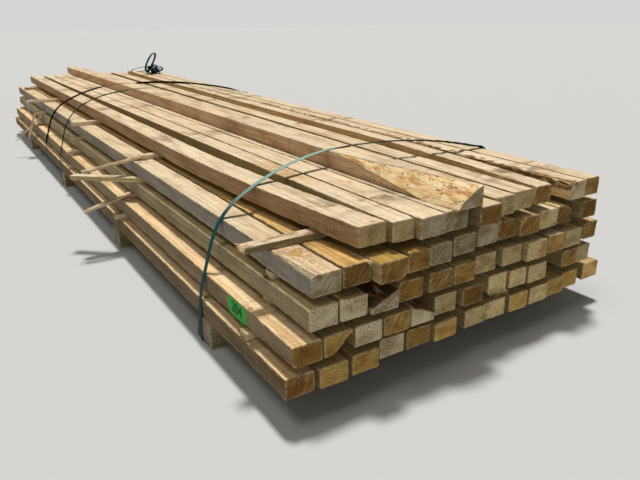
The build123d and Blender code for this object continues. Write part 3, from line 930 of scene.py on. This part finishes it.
@dataclass
class StrapBand:
    """A flat band that goes round the stack over the corners that its plain solid touches, and springs between them.

    A twist is where it starts and ends across the stack, and how far the band is turned on its edge there. The lift
    is where it starts and ends across the top, and how far the band stands above its plain solid between them.
    """

    node: str
    slot: str
    width: float
    thickness: float = 1.2 * MM
    step: float = 0.02
    springiness: float = 0.25
    twists: tuple[Triple, ...] = ()
    lift: Triple | None = None
    lifted_above: float = 0.5
    twisted_above: float = 0.2
    fade: float = 0.06

    def corners(self) -> list[Vector]:
        """Find the corners that the band goes over.

        Returns:
            Middle of the band at every corner of the plain solid, in order round the stack.
        """
        groups: list[list[Vector]] = []
        for point in solids_of(self.node)[0].points:
            near = [g for g in groups if math.hypot(g[0].x - point.x, g[0].z - point.z) < 6 * MM]
            if near:
                near[0].append(point)
            else:
                groups.append([point])
        middles = [sum(g, Vector()) / len(g) for g in groups]
        centre = sum(middles, Vector()) / len(middles)
        return sorted(middles, key=lambda p: math.atan2(p.z - centre.z, p.x - centre.x))

    def route(self) -> list[Vector]:
        """Draw the line that the band follows.

        Returns:
            Points of a smooth closed line through the corners, bowed outwards between them.
        """
        corners = self.corners()
        count = len(corners)
        heads = [(corners[(i + 1) % count] - corners[i]).normalized() for i in range(count)]
        tangents = [(heads[i - 1] + heads[i]).normalized() for i in range(count)]
        floor = min(c.z for c in corners)
        line = []
        for i, start in enumerate(corners):
            end = corners[(i + 1) % count]
            reach = (end - start).length * self.springiness
            steps = max(2, round((end - start).length / self.step))
            for step in range(steps):
                t = step / steps
                leave = t * (1 - t) ** 2 * 4 * reach
                arrive = t * t * (1 - t) * 4 * reach
                point = start.lerp(end, t) + tangents[i] * leave - tangents[(i + 1) % count] * arrive
                point -= (end - start).normalized() * (leave - arrive) * 0.8
                point.z = max(point.z, floor + self.thickness / 2)
                line.append(self.lifted(point))
        return line

    def lifted(self, point: Vector) -> Vector:
        """Raise a point of the line where the band stands clear of the stack.

        Args:
            point: The point.

        Returns:
            The raised point.
        """
        if self.lift is None:
            return point
        start, end, rise = self.lift
        share = (point.x - start) / (end - start)
        if point.z > self.lifted_above and 0 < share < 1:
            return point + UP * rise * math.sin(math.pi * share)
        return point

    def turn_at(self, point: Vector) -> float:
        """How far the band is turned on its edge.

        Args:
            point: A point of its line.

        Returns:
            The turn there, in radians.
        """
        angle = 0.0
        for start, end, degrees in self.twists:
            share = min(1.0, *(max(0.0, far / self.fade + 0.5) for far in (point.x - start, end - point.x)))
            angle += math.radians(degrees) * share
        return angle if point.z > self.twisted_above else 0.0

    def dress(self, material: bpy.types.Material) -> None:
        """Make the band over its plain solid.

        Args:
            material: What it is made of.
        """
        line = self.route()
        grid = bmesh.new()
        rings = []
        for i, point in enumerate(line):
            ahead = (line[(i + 1) % len(line)] - line[i - 1]).normalized()
            wide = (Vector((0, 1, 0)) - ahead * ahead.y).normalized()
            wide = Matrix.Rotation(self.turn_at(point), 3, ahead) @ wide
            thick = ahead.cross(wide)
            sides = ((a * self.width / 2, b * self.thickness / 2) for a, b in ((1, 1), (-1, 1), (-1, -1), (1, -1)))
            rings.append([grid.verts.new(point + wide * a + thick * b) for a, b in sides])
        join_lines(grid, rings, closed=True)
        bmesh.ops.recalc_face_normals(grid, faces=grid.faces)
        finish_piece(grid, self.node + "_band", material, self.node)
        LOG.info("%s: a band through %d corners", self.node, len(self.corners()))


@dataclass
class SpareBights:
    """A crumpled length of spare strapping that lies on the stack in bights.

    A bight is the place of its middle aside and up, its half length and half height, its tilt in its own upright
    plane and the turn of that plane, in mm and degrees.
    """

    middle_from_corner: Pair = (0.277, 0.081)
    width: float = 25 * MM
    thickness: float = 3 * MM
    clearance: float = 0.3 * MM
    steps: int = 44
    bights: tuple[tuple[float, ...], ...] = (
        (-26, 132, 126, 40, 41, 36),
        (0, 42, 88, 40, 0, 5),
        (6, 33, 92, 28, 3, 38),
        (-4, 48, 74, 28, 24, -30),
        (10, 50, 84, 24, -22, 30),
        (96, 50, 50, 27, -12, 26),
        (-142, 56, 118, 22, 6, 12),
        (4, 52, 58, 36, 50, -10),
        (-6, 40, 66, 24, -12, 62),
        (14, 46, 50, 30, 75, 15),
        (-16, 36, 64, 26, 10, -58),
        (2, 28, 78, 20, 5, -8),
        (24, 38, 60, 28, -30, -35),
    )

    def add_bight(self, grid: bmesh.types.BMesh, bight: tuple[float, ...]) -> None:
        """Add one bight to a mesh.

        Args:
            grid: The mesh that takes it.
            bight: Its measures.
        """
        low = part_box("spare_strapping")[0]
        origin = Vector((low.x + self.middle_from_corner[0], low.y + self.middle_from_corner[1], low.z))
        aside, rise, half_length, half_height, tilt, turn = bight
        wide = Vector((-math.sin(math.radians(turn)), math.cos(math.radians(turn)), 0))
        level = Vector((wide.y, -wide.x, 0))
        rings = []
        for step in range(self.steps):
            angle = math.tau * step / self.steps
            ring = []
            for thick, half in ((0.0, 0.5), (0.0, -0.5), (1.0, -0.5), (1.0, 0.5)):
                reach = Vector((half_length * math.cos(angle), half_height * math.sin(angle)))
                inner = reach * MM - reach.normalized() * thick * self.thickness
                leaning = Matrix.Rotation(math.radians(tilt), 2) @ inner
                place = origin + level * (aside * MM + leaning.x) + UP * (rise * MM + leaning.y)
                place = place + wide * half * self.width
                place.z = max(place.z, low.z + self.clearance * (1 + thick))
                ring.append(grid.verts.new(place))
            rings.append(ring)
        join_lines(grid, rings, closed=True)

    def dress(self, material: bpy.types.Material) -> None:
        """Make the bights over the plain solid.

        Args:
            material: What they are made of.
        """
        grid = bmesh.new()
        for bight in self.bights:
            self.add_bight(grid, bight)
        bmesh.ops.recalc_face_normals(grid, faces=grid.faces)
        finish_piece(grid, "spare_strapping_bights", material, "spare_strapping")
        LOG.info("spare_strapping: %d bights", len(self.bights))


@dataclass
class NumberTag:
    """A stapled plastic tag: a plate with round lower corners that stands off a little, and a plain number."""

    thickness: float = 0.8 * MM
    stand_off: float = 0.1 * MM
    corner: float = 16 * MM
    number: str = "204"
    digit_height: float = 38 * MM
    digits_up: float = 2 * MM
    ink_thickness: float = 0.05 * MM
    columns: int = 14
    rows: int = 8

    def dress(self, plastic: bpy.types.Material, ink: bpy.types.Material) -> None:
        """Make the plate and its digits over the plain solid.

        Args:
            plastic: What the plate is made of.
            ink: What the digits are printed in.
        """
        low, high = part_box("number_tag")
        face = low.x + self.stand_off
        grid = bmesh.new()
        size_y, size_z = high.y - low.y, high.z - low.z
        sheet = []
        for column in range(self.columns + 1):
            part = column / self.columns
            lift = self.rounding(part * size_y, size_y)
            heights = [low.z + lift + (size_z - lift) * row / self.rows for row in range(self.rows + 1)]
            sheet.append([grid.verts.new((face + self.thickness, low.y + size_y * part, z)) for z in heights])
        join_lines(grid, sheet, closed=False)
        grid.normal_update()
        bmesh.ops.recalc_face_normals(grid, faces=grid.faces)
        bmesh.ops.solidify(grid, geom=grid.faces[:], thickness=self.thickness)
        finish_piece(grid, "number_tag_plate", plastic, "number_tag")
        middle = (low + high) / 2
        self.print_number(Vector((face - self.ink_thickness, middle.y, middle.z + self.digits_up)), ink)
        LOG.info("number_tag: a plate and its digits")

    def rounding(self, along: float, length: float) -> float:
        """How far the lower edge rises at a distance along the tag."""
        inside = min(along, length - along, self.corner)
        return self.corner - math.sqrt(self.corner**2 - (self.corner - inside) ** 2)

    def print_number(self, place: Vector, ink: bpy.types.Material) -> None:
        """Lay the digits flat on the tag.

        Args:
            place: Their middle, just off the plate's outer face.
            ink: What they are printed in.
        """
        curve = bpy.data.curves.new("digits", "FONT")
        curve.body = self.number
        curve.size = self.digit_height * 1.4
        curve.offset = 0.7 * MM
        curve.align_x = "CENTER"
        curve.align_y = "CENTER"
        holder = bpy.data.objects.new("digits", curve)
        bpy.context.scene.collection.objects.link(holder)
        shown = bpy.data.meshes.new_from_object(holder.evaluated_get(bpy.context.evaluated_depsgraph_get()))
        bpy.data.objects.remove(holder)
        turn = Matrix(((0, 0, -1), (-1, 0, 0), (0, 1, 0))).to_4x4()
        shown.transform(Matrix.Translation(place) @ turn)
        shown.materials.clear()
        shown.materials.append(ink)
        place_piece("number_tag_digits", shown)


@dataclass
class FilmScrap:
    """A crumpled scrap of film over a slat's end: a flap on top and a tongue that hangs down in front."""

    margin: float = 1.5 * MM
    crumple: float = 5.0 * MM
    clearance: float = 0.4 * MM
    ripple: float = 0.6 * MM
    narrowing: float = 0.35
    columns: int = 12
    rows: int = 34

    def dress(self, film: bpy.types.Material) -> None:
        """Make the scrap over its plain solid.

        Args:
            film: What it is made of.
        """
        low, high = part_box("film_scrap")
        flap = high.x - low.x
        hang = high.z - low.z
        length = flap + hang
        grid = bmesh.new()
        sheet = []
        for row in range(self.rows + 1):
            run = length * row / self.rows
            narrow = 1 - self.narrowing * max(0.0, run - flap) / hang
            line = []
            for column in range(self.columns + 1):
                part = column / self.columns
                wave = noise_share(Vector((part * 4.5, run * 40, SEED)))
                if run < flap:
                    x, z = high.x - run, high.z - self.clearance - self.ripple * wave
                else:
                    x, z = low.x + self.margin - self.crumple * (wave - 0.2), high.z - (run - flap)
                y = (low.y + high.y) / 2 + (part - 0.5) * (high.y - low.y) * narrow
                line.append(grid.verts.new((x, y, z)))
            sheet.append(line)
        join_lines(grid, sheet, closed=False)
        scrap = finish_piece(grid, "film_scrap_sheet", film, "film_scrap", sharp=180)
        LOG.info("film_scrap: a crumpled sheet")


@dataclass
class Studio:
    """Camera at the photograph's place, pale floor and backdrop, and three distant lamps.

    A sun is its name, the way that its light travels, its strength, and how wide it looks from the floor in radians,
    which softens its shadows.
    """

    eye_from_layer: Triple = (-0.6704, -1.2537, 1.1248)
    yaw: float = 0.5608
    pitch: float = 0.3589
    roll: float = -0.0114
    focal_px: float = 596.7
    photo_width_px: int = 640
    sight: float = 200.0
    floor_reach: float = 60.0
    floor_colour: str = "#C6C7C7"
    backdrop_colour: str = "#D6D6D5"
    sky_strength: float = 0.15
    sun_colour: str = "#FFFCF8"
    suns: tuple[tuple[str, Triple, float, float], ...] = (
        ("behind", (-0.17, -0.25, -1.0), 3.0, 0.13),
        ("left", (0.4, -0.05, -1.0), 0.5, 0.4),
        ("front_fill", (0.16, 1.0, -0.08), 0.6, 0.6),
    )

    def show(self, name: str, data: bpy.types.ID) -> bpy.types.Object:
        """Put an object in the scene.

        Args:
            name: Its name.
            data: Its mesh, lamp or camera data.

        Returns:
            The object.
        """
        made = bpy.data.objects.new(name, data)
        bpy.context.scene.collection.objects.link(made)
        return made

    def place_camera(self) -> None:
        """Put the camera where the photograph was taken from, measured from the bottom layer's near left corner."""
        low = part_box("beams_layer_1")[0]
        data = bpy.data.cameras.new("camera")
        camera = self.show("camera", data)
        data.lens = self.focal_px / self.photo_width_px * data.sensor_width
        level_reach = math.cos(self.pitch)
        forward = Vector((math.sin(self.yaw) * level_reach, math.cos(self.yaw) * level_reach, -math.sin(self.pitch)))
        level = Vector((math.cos(self.yaw), -math.sin(self.yaw), 0))
        upright = level.cross(forward)
        right = level * math.cos(self.roll) + upright * math.sin(self.roll)
        up = upright * math.cos(self.roll) - level * math.sin(self.roll)
        turn = Matrix((right, up, -forward)).transposed().to_4x4()
        eye = Vector((low.x, low.y, 0)) + Vector(self.eye_from_layer)
        camera.matrix_world = Matrix.Translation(eye) @ turn
        data.clip_end = self.sight
        bpy.context.scene.camera = camera

    def lay_floor(self) -> None:
        """Lay a plain pale floor."""
        reach = self.floor_reach
        mesh = bpy.data.meshes.new("floor")
        corners = [(-reach, -reach, 0), (reach, -reach, 0), (reach, reach, 0), (-reach, reach, 0)]
        mesh.from_pydata(corners, [], [(0, 1, 2, 3)])
        floor = self.show("floor", mesh)
        paint = Paint("pale_floor", 0.9, 0.2)
        paint.shader.inputs["Base Color"].default_value = linear(self.floor_colour)
        mesh.materials.append(paint.material)
        floor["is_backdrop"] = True

    def light(self) -> None:
        """Light the stack from above and behind, with weak fills from the front and from all round."""
        scene = bpy.context.scene
        scene.view_settings.view_transform = "Standard"
        world = bpy.data.worlds.new("studio")
        scene.world = world
        world.use_nodes = True
        tree = world.node_tree
        background = tree.nodes["Background"]
        background.inputs["Color"].default_value = linear(self.backdrop_colour)
        # The backdrop keeps its full strength where it is seen, reflected or looked through.
        rays = add(tree, "LightPath").outputs
        clear = rays["Is Camera Ray"]
        for kind in ("Is Glossy Ray", "Is Transmission Ray"):
            clear = add(tree, "Math", {"operation": "MAXIMUM", 0: clear, 1: rays[kind]}).outputs[0]
        strength = add(tree, "MapRange", {"To Min": self.sky_strength, "To Max": 1.0, "Value": clear})
        tree.links.new(strength.outputs[0], background.inputs["Strength"])
        for name, direction, power, width in self.suns:
            data = bpy.data.lights.new(name, "SUN")
            data.energy = power
            data.angle = width
            data.color = linear(self.sun_colour)[:3]
            lamp = self.show(name, data)
            lamp.rotation_euler = Vector(direction).to_track_quat("-Z", "Y").to_euler()


LAYER_1 = [
    Dressing(Tone.TOBACCO, (0.9, -0.4), top=Tone.PEACH, left=Tone.SEPIA),
    Dressing(Tone.OCHRE, (0.3, -0.6)),
    Dressing(Tone.OCHRE, (0.6, 1.5)),
    Dressing(Tone.ASH, (0.7, 1.4)),
    Dressing(Tone.UMBER, (0.5, 1.3)),
    Dressing(Tone.GOLD, (0.2, 1.6)),
    Dressing(Tone.STRAW, (0.4, -0.4)),
    Dressing(Tone.BLOND, (1.3, 0.4)),
    Dressing(Tone.GOLD, (0.5, 1.7)),
    Dressing(Tone.BLOND, (-0.2, -0.4)),
    Dressing(Tone.OCHRE, (0.8, 1.5)),
    Dressing(Tone.OCHRE, (0.4, 1.4)),
    Dressing(Tone.HONEY, (0.5, -0.5)),
]
LAYER_2 = [
    Dressing(Tone.TOBACCO, (0.5, 1.5), top=Tone.PEACH, left=Tone.DUN),
    Dressing(Tone.OCHRE, (0.4, 1.4)),
    Dressing(Tone.ASH, (0.7, 1.2)),
    Dressing(Tone.UMBER, (0.3, 1.4)),
    Dressing(Tone.ASH, (-0.3, 0.4), wane=Tone.RUSSET, bark=0.3),
    Dressing(Tone.KHAKI, (0.4, -0.6)),
    Dressing(Tone.PEAT, (0.5, -0.5)),
    Dressing(Tone.BLOND, (1.2, 1.2), left=Tone.STRAW),
    Dressing(Tone.BLOND, (0.4, 1.5), left=Tone.HONEY),
    Dressing(Tone.STRAW, (0.6, -0.5)),
    Dressing(Tone.ASH, (0.2, 1.4)),
    Dressing(Tone.UMBER, (0.5, 1.6)),
    Dressing(Tone.KHAKI, (0.5, 0.4)),
]
LAYER_3 = [
    Dressing(Tone.ASH, (-0.6, -0.5), top=Tone.BLOND, left=Tone.DRIFT),
    Dressing(Tone.ASH, (1.2, 1.1)),
    Dressing(Tone.DRIFT, (0.5, -0.5), wane=Tone.BARK, bark=0.5),
    Dressing(Tone.TOBACCO, (0.3, 1.3)),
    Dressing(Tone.TOBACCO, (0.6, -0.6)),
    Dressing(Tone.UMBER, (0.5, 1.4)),
    Dressing(Tone.KHAKI, (0.4, -0.5)),
    Dressing(Tone.KHAKI, (1.3, 0.5)),
    Dressing(Tone.STRAW, (0.5, 1.5)),
    Dressing(Tone.OCHRE, (0.7, -0.5), top=Tone.CREAM),
    Dressing(Tone.KHAKI, (0.2, 1.5)),
    Dressing(Tone.TOBACCO, (0.5, 1.4)),
]
LAYER_4 = [
    Dressing(Tone.DRIFT, (0.72, 0.42), Tone.CREAM, Tone.SLATE, wane=Tone.SLATE, stains=((0.2, 0.55, 0.2),)),
    # Painted shade: the second to fourth beams have dark ends, and the third and fourth dark OCHRE and UMBER tops,
    # where the layer above shadows them.
    Dressing(Tone.PEAT, (0.5, 1.4), top=Tone.HONEY),
    Dressing(Tone.TOBACCO, (0.3, 1.3), top=Tone.OCHRE, left=Tone.STRAW),
    Dressing(Tone.TOBACCO, (0.6, 1.5), top=Tone.UMBER),
    Dressing(Tone.OLIVE, (1.1, 1.3)),
    Dressing(Tone.OLIVE, (0.5, -0.4)),
    Dressing(Tone.DRIFT, (0.4, 0.5)),
    Dressing(Tone.TOBACCO, (0.5, -0.5)),
    Dressing(Tone.TOBACCO, (0.2, 1.3)),
    Dressing(Tone.STRAW, (0.7, 0.4), top=Tone.CREAM),
    Dressing(Tone.PEAT, (0.5, 1.5), top=Tone.BLOND),
    Dressing(Tone.PEAT, (0.4, -0.5), top=Tone.BLOND),
]
LAYER_5 = [
    Dressing(Tone.KHAKI, (1.2, 1.2), top=Tone.CREAM, stains=((0.75, 0.5, 0.26),)),
    Dressing(Tone.DRIFT, (0.5, -0.5), top=Tone.CREAM),
    # Painted shade: the dark OLIVE and PEAT ends of these two beams stand for the shadow that lies on them.
    Dressing(Tone.OLIVE, (0.4, 1.4), top=Tone.CREAM, left=Tone.SLATE),
    Dressing(Tone.PEAT, (0.5, -0.6), top=Tone.CREAM, left=Tone.DUN),
    Dressing(Tone.KHAKI, (0.5, 0.2), top=Tone.CREAM),
    Dressing(Tone.KHAKI, (0.3, -0.3), top=Tone.CREAM),
    Dressing(Tone.ASH, (0.6, 1.3), top=Tone.CREAM, left=Tone.AMBER, bark_edge=(-0.5, 3.2, 0.032)),
    Dressing(Tone.UMBER, (0.5, -0.4), top=Tone.CREAM),
]
CROOKED_LEFT = Dressing(Tone.KHAKI, (-0.5, -0.9), top=Tone.CREAM, left=Tone.SIENNA)
CROOKED_RIGHT = Dressing(Tone.TOBACCO, (0.4, 1.3), top=Tone.CREAM, left=Tone.AMBER)
TOP_BEAM = Dressing(Tone.DRIFT, (1.4, -1.75), top=Tone.CREAM, left=Tone.ROSE, wane=Tone.AMBER, bark=0.06)
# Painted shade: the bearers' dark SEPIA left sides stand for the stack's shadow over them.
BEARER = Dressing(Tone.SLATE, top=Tone.KHAKI, left=Tone.SEPIA, right=Tone.OLIVE)
SLAT = Dressing(Tone.BLOND, top=Tone.CREAM, left=Tone.STRAW, right=Tone.CREAM, wane=Tone.CREAM)
SHADED_SLAT = Dressing(Tone.BLOND, top=Tone.CREAM, left=Tone.OLIVE, right=Tone.OLIVE, wane=Tone.CREAM)


def dress_timbers(stack_end: float) -> None:
    """Dress the beams, bearers, slats and sticks, and tear fibres out of some of their ends.

    Args:
        stack_end: Where the stack's near end is.
    """
    softwood = SawnSoftwood("douglas_fir")
    ends, faces = softwood.build(True), softwood.build(False)
    yard = TimberYard([ends, faces, LogSurface("fir_log_surface").build()])
    slats = TimberYard([ends, faces, faces], 100)
    yard.dress_node("bearers", [BEARER], "bearer_timber", coarse_step=0.06)
    layers = [
        yard.dress_node(f"beams_layer_{number}", dressings, "sawn_timber")
        for number, dressings in enumerate((LAYER_1, LAYER_2, LAYER_3, LAYER_4, LAYER_5), start=1)
    ]
    pale = PlainPlastic("torn_fibre", "#F4E2BA", "#D8B27A", 0.9).build()
    red = PlainPlastic("torn_bark_fibre", "#8A5230", "#5C3620", 0.9).build()
    torn = (
        (layers[1][7], pale, {"upper": False, "count": 44, "longest": 36 * MM, "thickest": 3.4 * MM}),
        (layers[0][5], pale, {"stop": 0.5, "count": 40, "longest": 34 * MM, "thickest": 3 * MM}),
        (layers[3][1], pale, {"start": 0.85, "stop": 1.0, "count": 14}),
        (layers[1][4], red, {"stop": 0.6, "count": 40}),
    )
    for timber, fibre, sizes in torn:
        Slivers(timber, "sawn_timber", stack_end, **sizes).dress(fibre)
    for number in range(1, 5):
        dressings = [SHADED_SLAT if number == 4 else SLAT] + [SLAT] * 4
        laid = slats.dress_node(f"slats_level_{number}", dressings, "slat_timber", wear_mm=1.0, fine_step=0.12)
    Slivers(laid[0], "slat_timber", stack_end, count=18, thickest=3.6 * MM).dress(pale)
    yard.dress_node("crooked_beam_left", [CROOKED_LEFT], "crooked_timber")
    yard.dress_node("crooked_beam_right", [CROOKED_RIGHT], "crooked_timber")
    yard.dress_node("top_beam", [TOP_BEAM], "waney_timber")
    slats.dress_node("askew_slat", [SLAT], "slat_timber", wear_mm=1.0)
    slats.dress_node("leaning_stick", [SLAT], "slat_timber", wear_mm=0.8)


def dress_plastics() -> None:
    """Dress the straps, the spare strapping, the tag and the film."""
    # The teal strap's pale upper faces are a painted reflection of the sky.
    teal = Strapping("teal_strapping", "#053E3B", "#0D5650", painted_sky_sheen=0.75).build()
    green = Strapping("green_strapping", "#28523F", "#44705C").build()
    black = Strapping("black_strapping", "#0F1112", "#26292B").build()
    low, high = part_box("top_beam")
    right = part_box("strap_far")[1].x
    StrapBand("strap_near", "green_strapping", 24 * MM, twists=((high.x - 0.1, right - 0.08, 24.0),)).dress(teal)
    StrapBand("strap_middle", "green_strapping", 17 * MM, twists=((-0.7, -0.1, 35.0),)).dress(green)
    twists = ((-0.9, -0.2, 50.0), (low.x + 0.15, right - 0.05, 48.0), (low.x + 0.15, low.x + 0.5, 30.0))
    StrapBand("strap_far", "black_strapping", 18 * MM, twists=twists, lift=(low.x + 0.1, right, -0.02)).dress(black)
    SpareBights().dress(Strapping("spare_teal_strapping", "#053532", "#12564C").build())
    ink = PlainPlastic("tag_ink", "#15301A", "#1F3A22", 0.6).build()
    NumberTag().dress(PlainPlastic("green_tag", "#1FA52A", "#35B63D", 0.5).build(), ink)
    FilmScrap().dress(PlainPlastic("clear_film", "#DAD8E2", "#F4F2F8", 0.25).build())


def main() -> None:
    """Build the stack from the floor up and report each piece."""
    logging.basicConfig(level=logging.INFO, format="%(name)s: %(message)s")
    cad_box = [list(v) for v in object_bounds()]
    studio = Studio()
    studio.place_camera()
    studio.lay_floor()
    studio.light()
    dress_timbers(cad_box[0][1])
    dress_plastics()


if __name__ == "__main__":
    main()
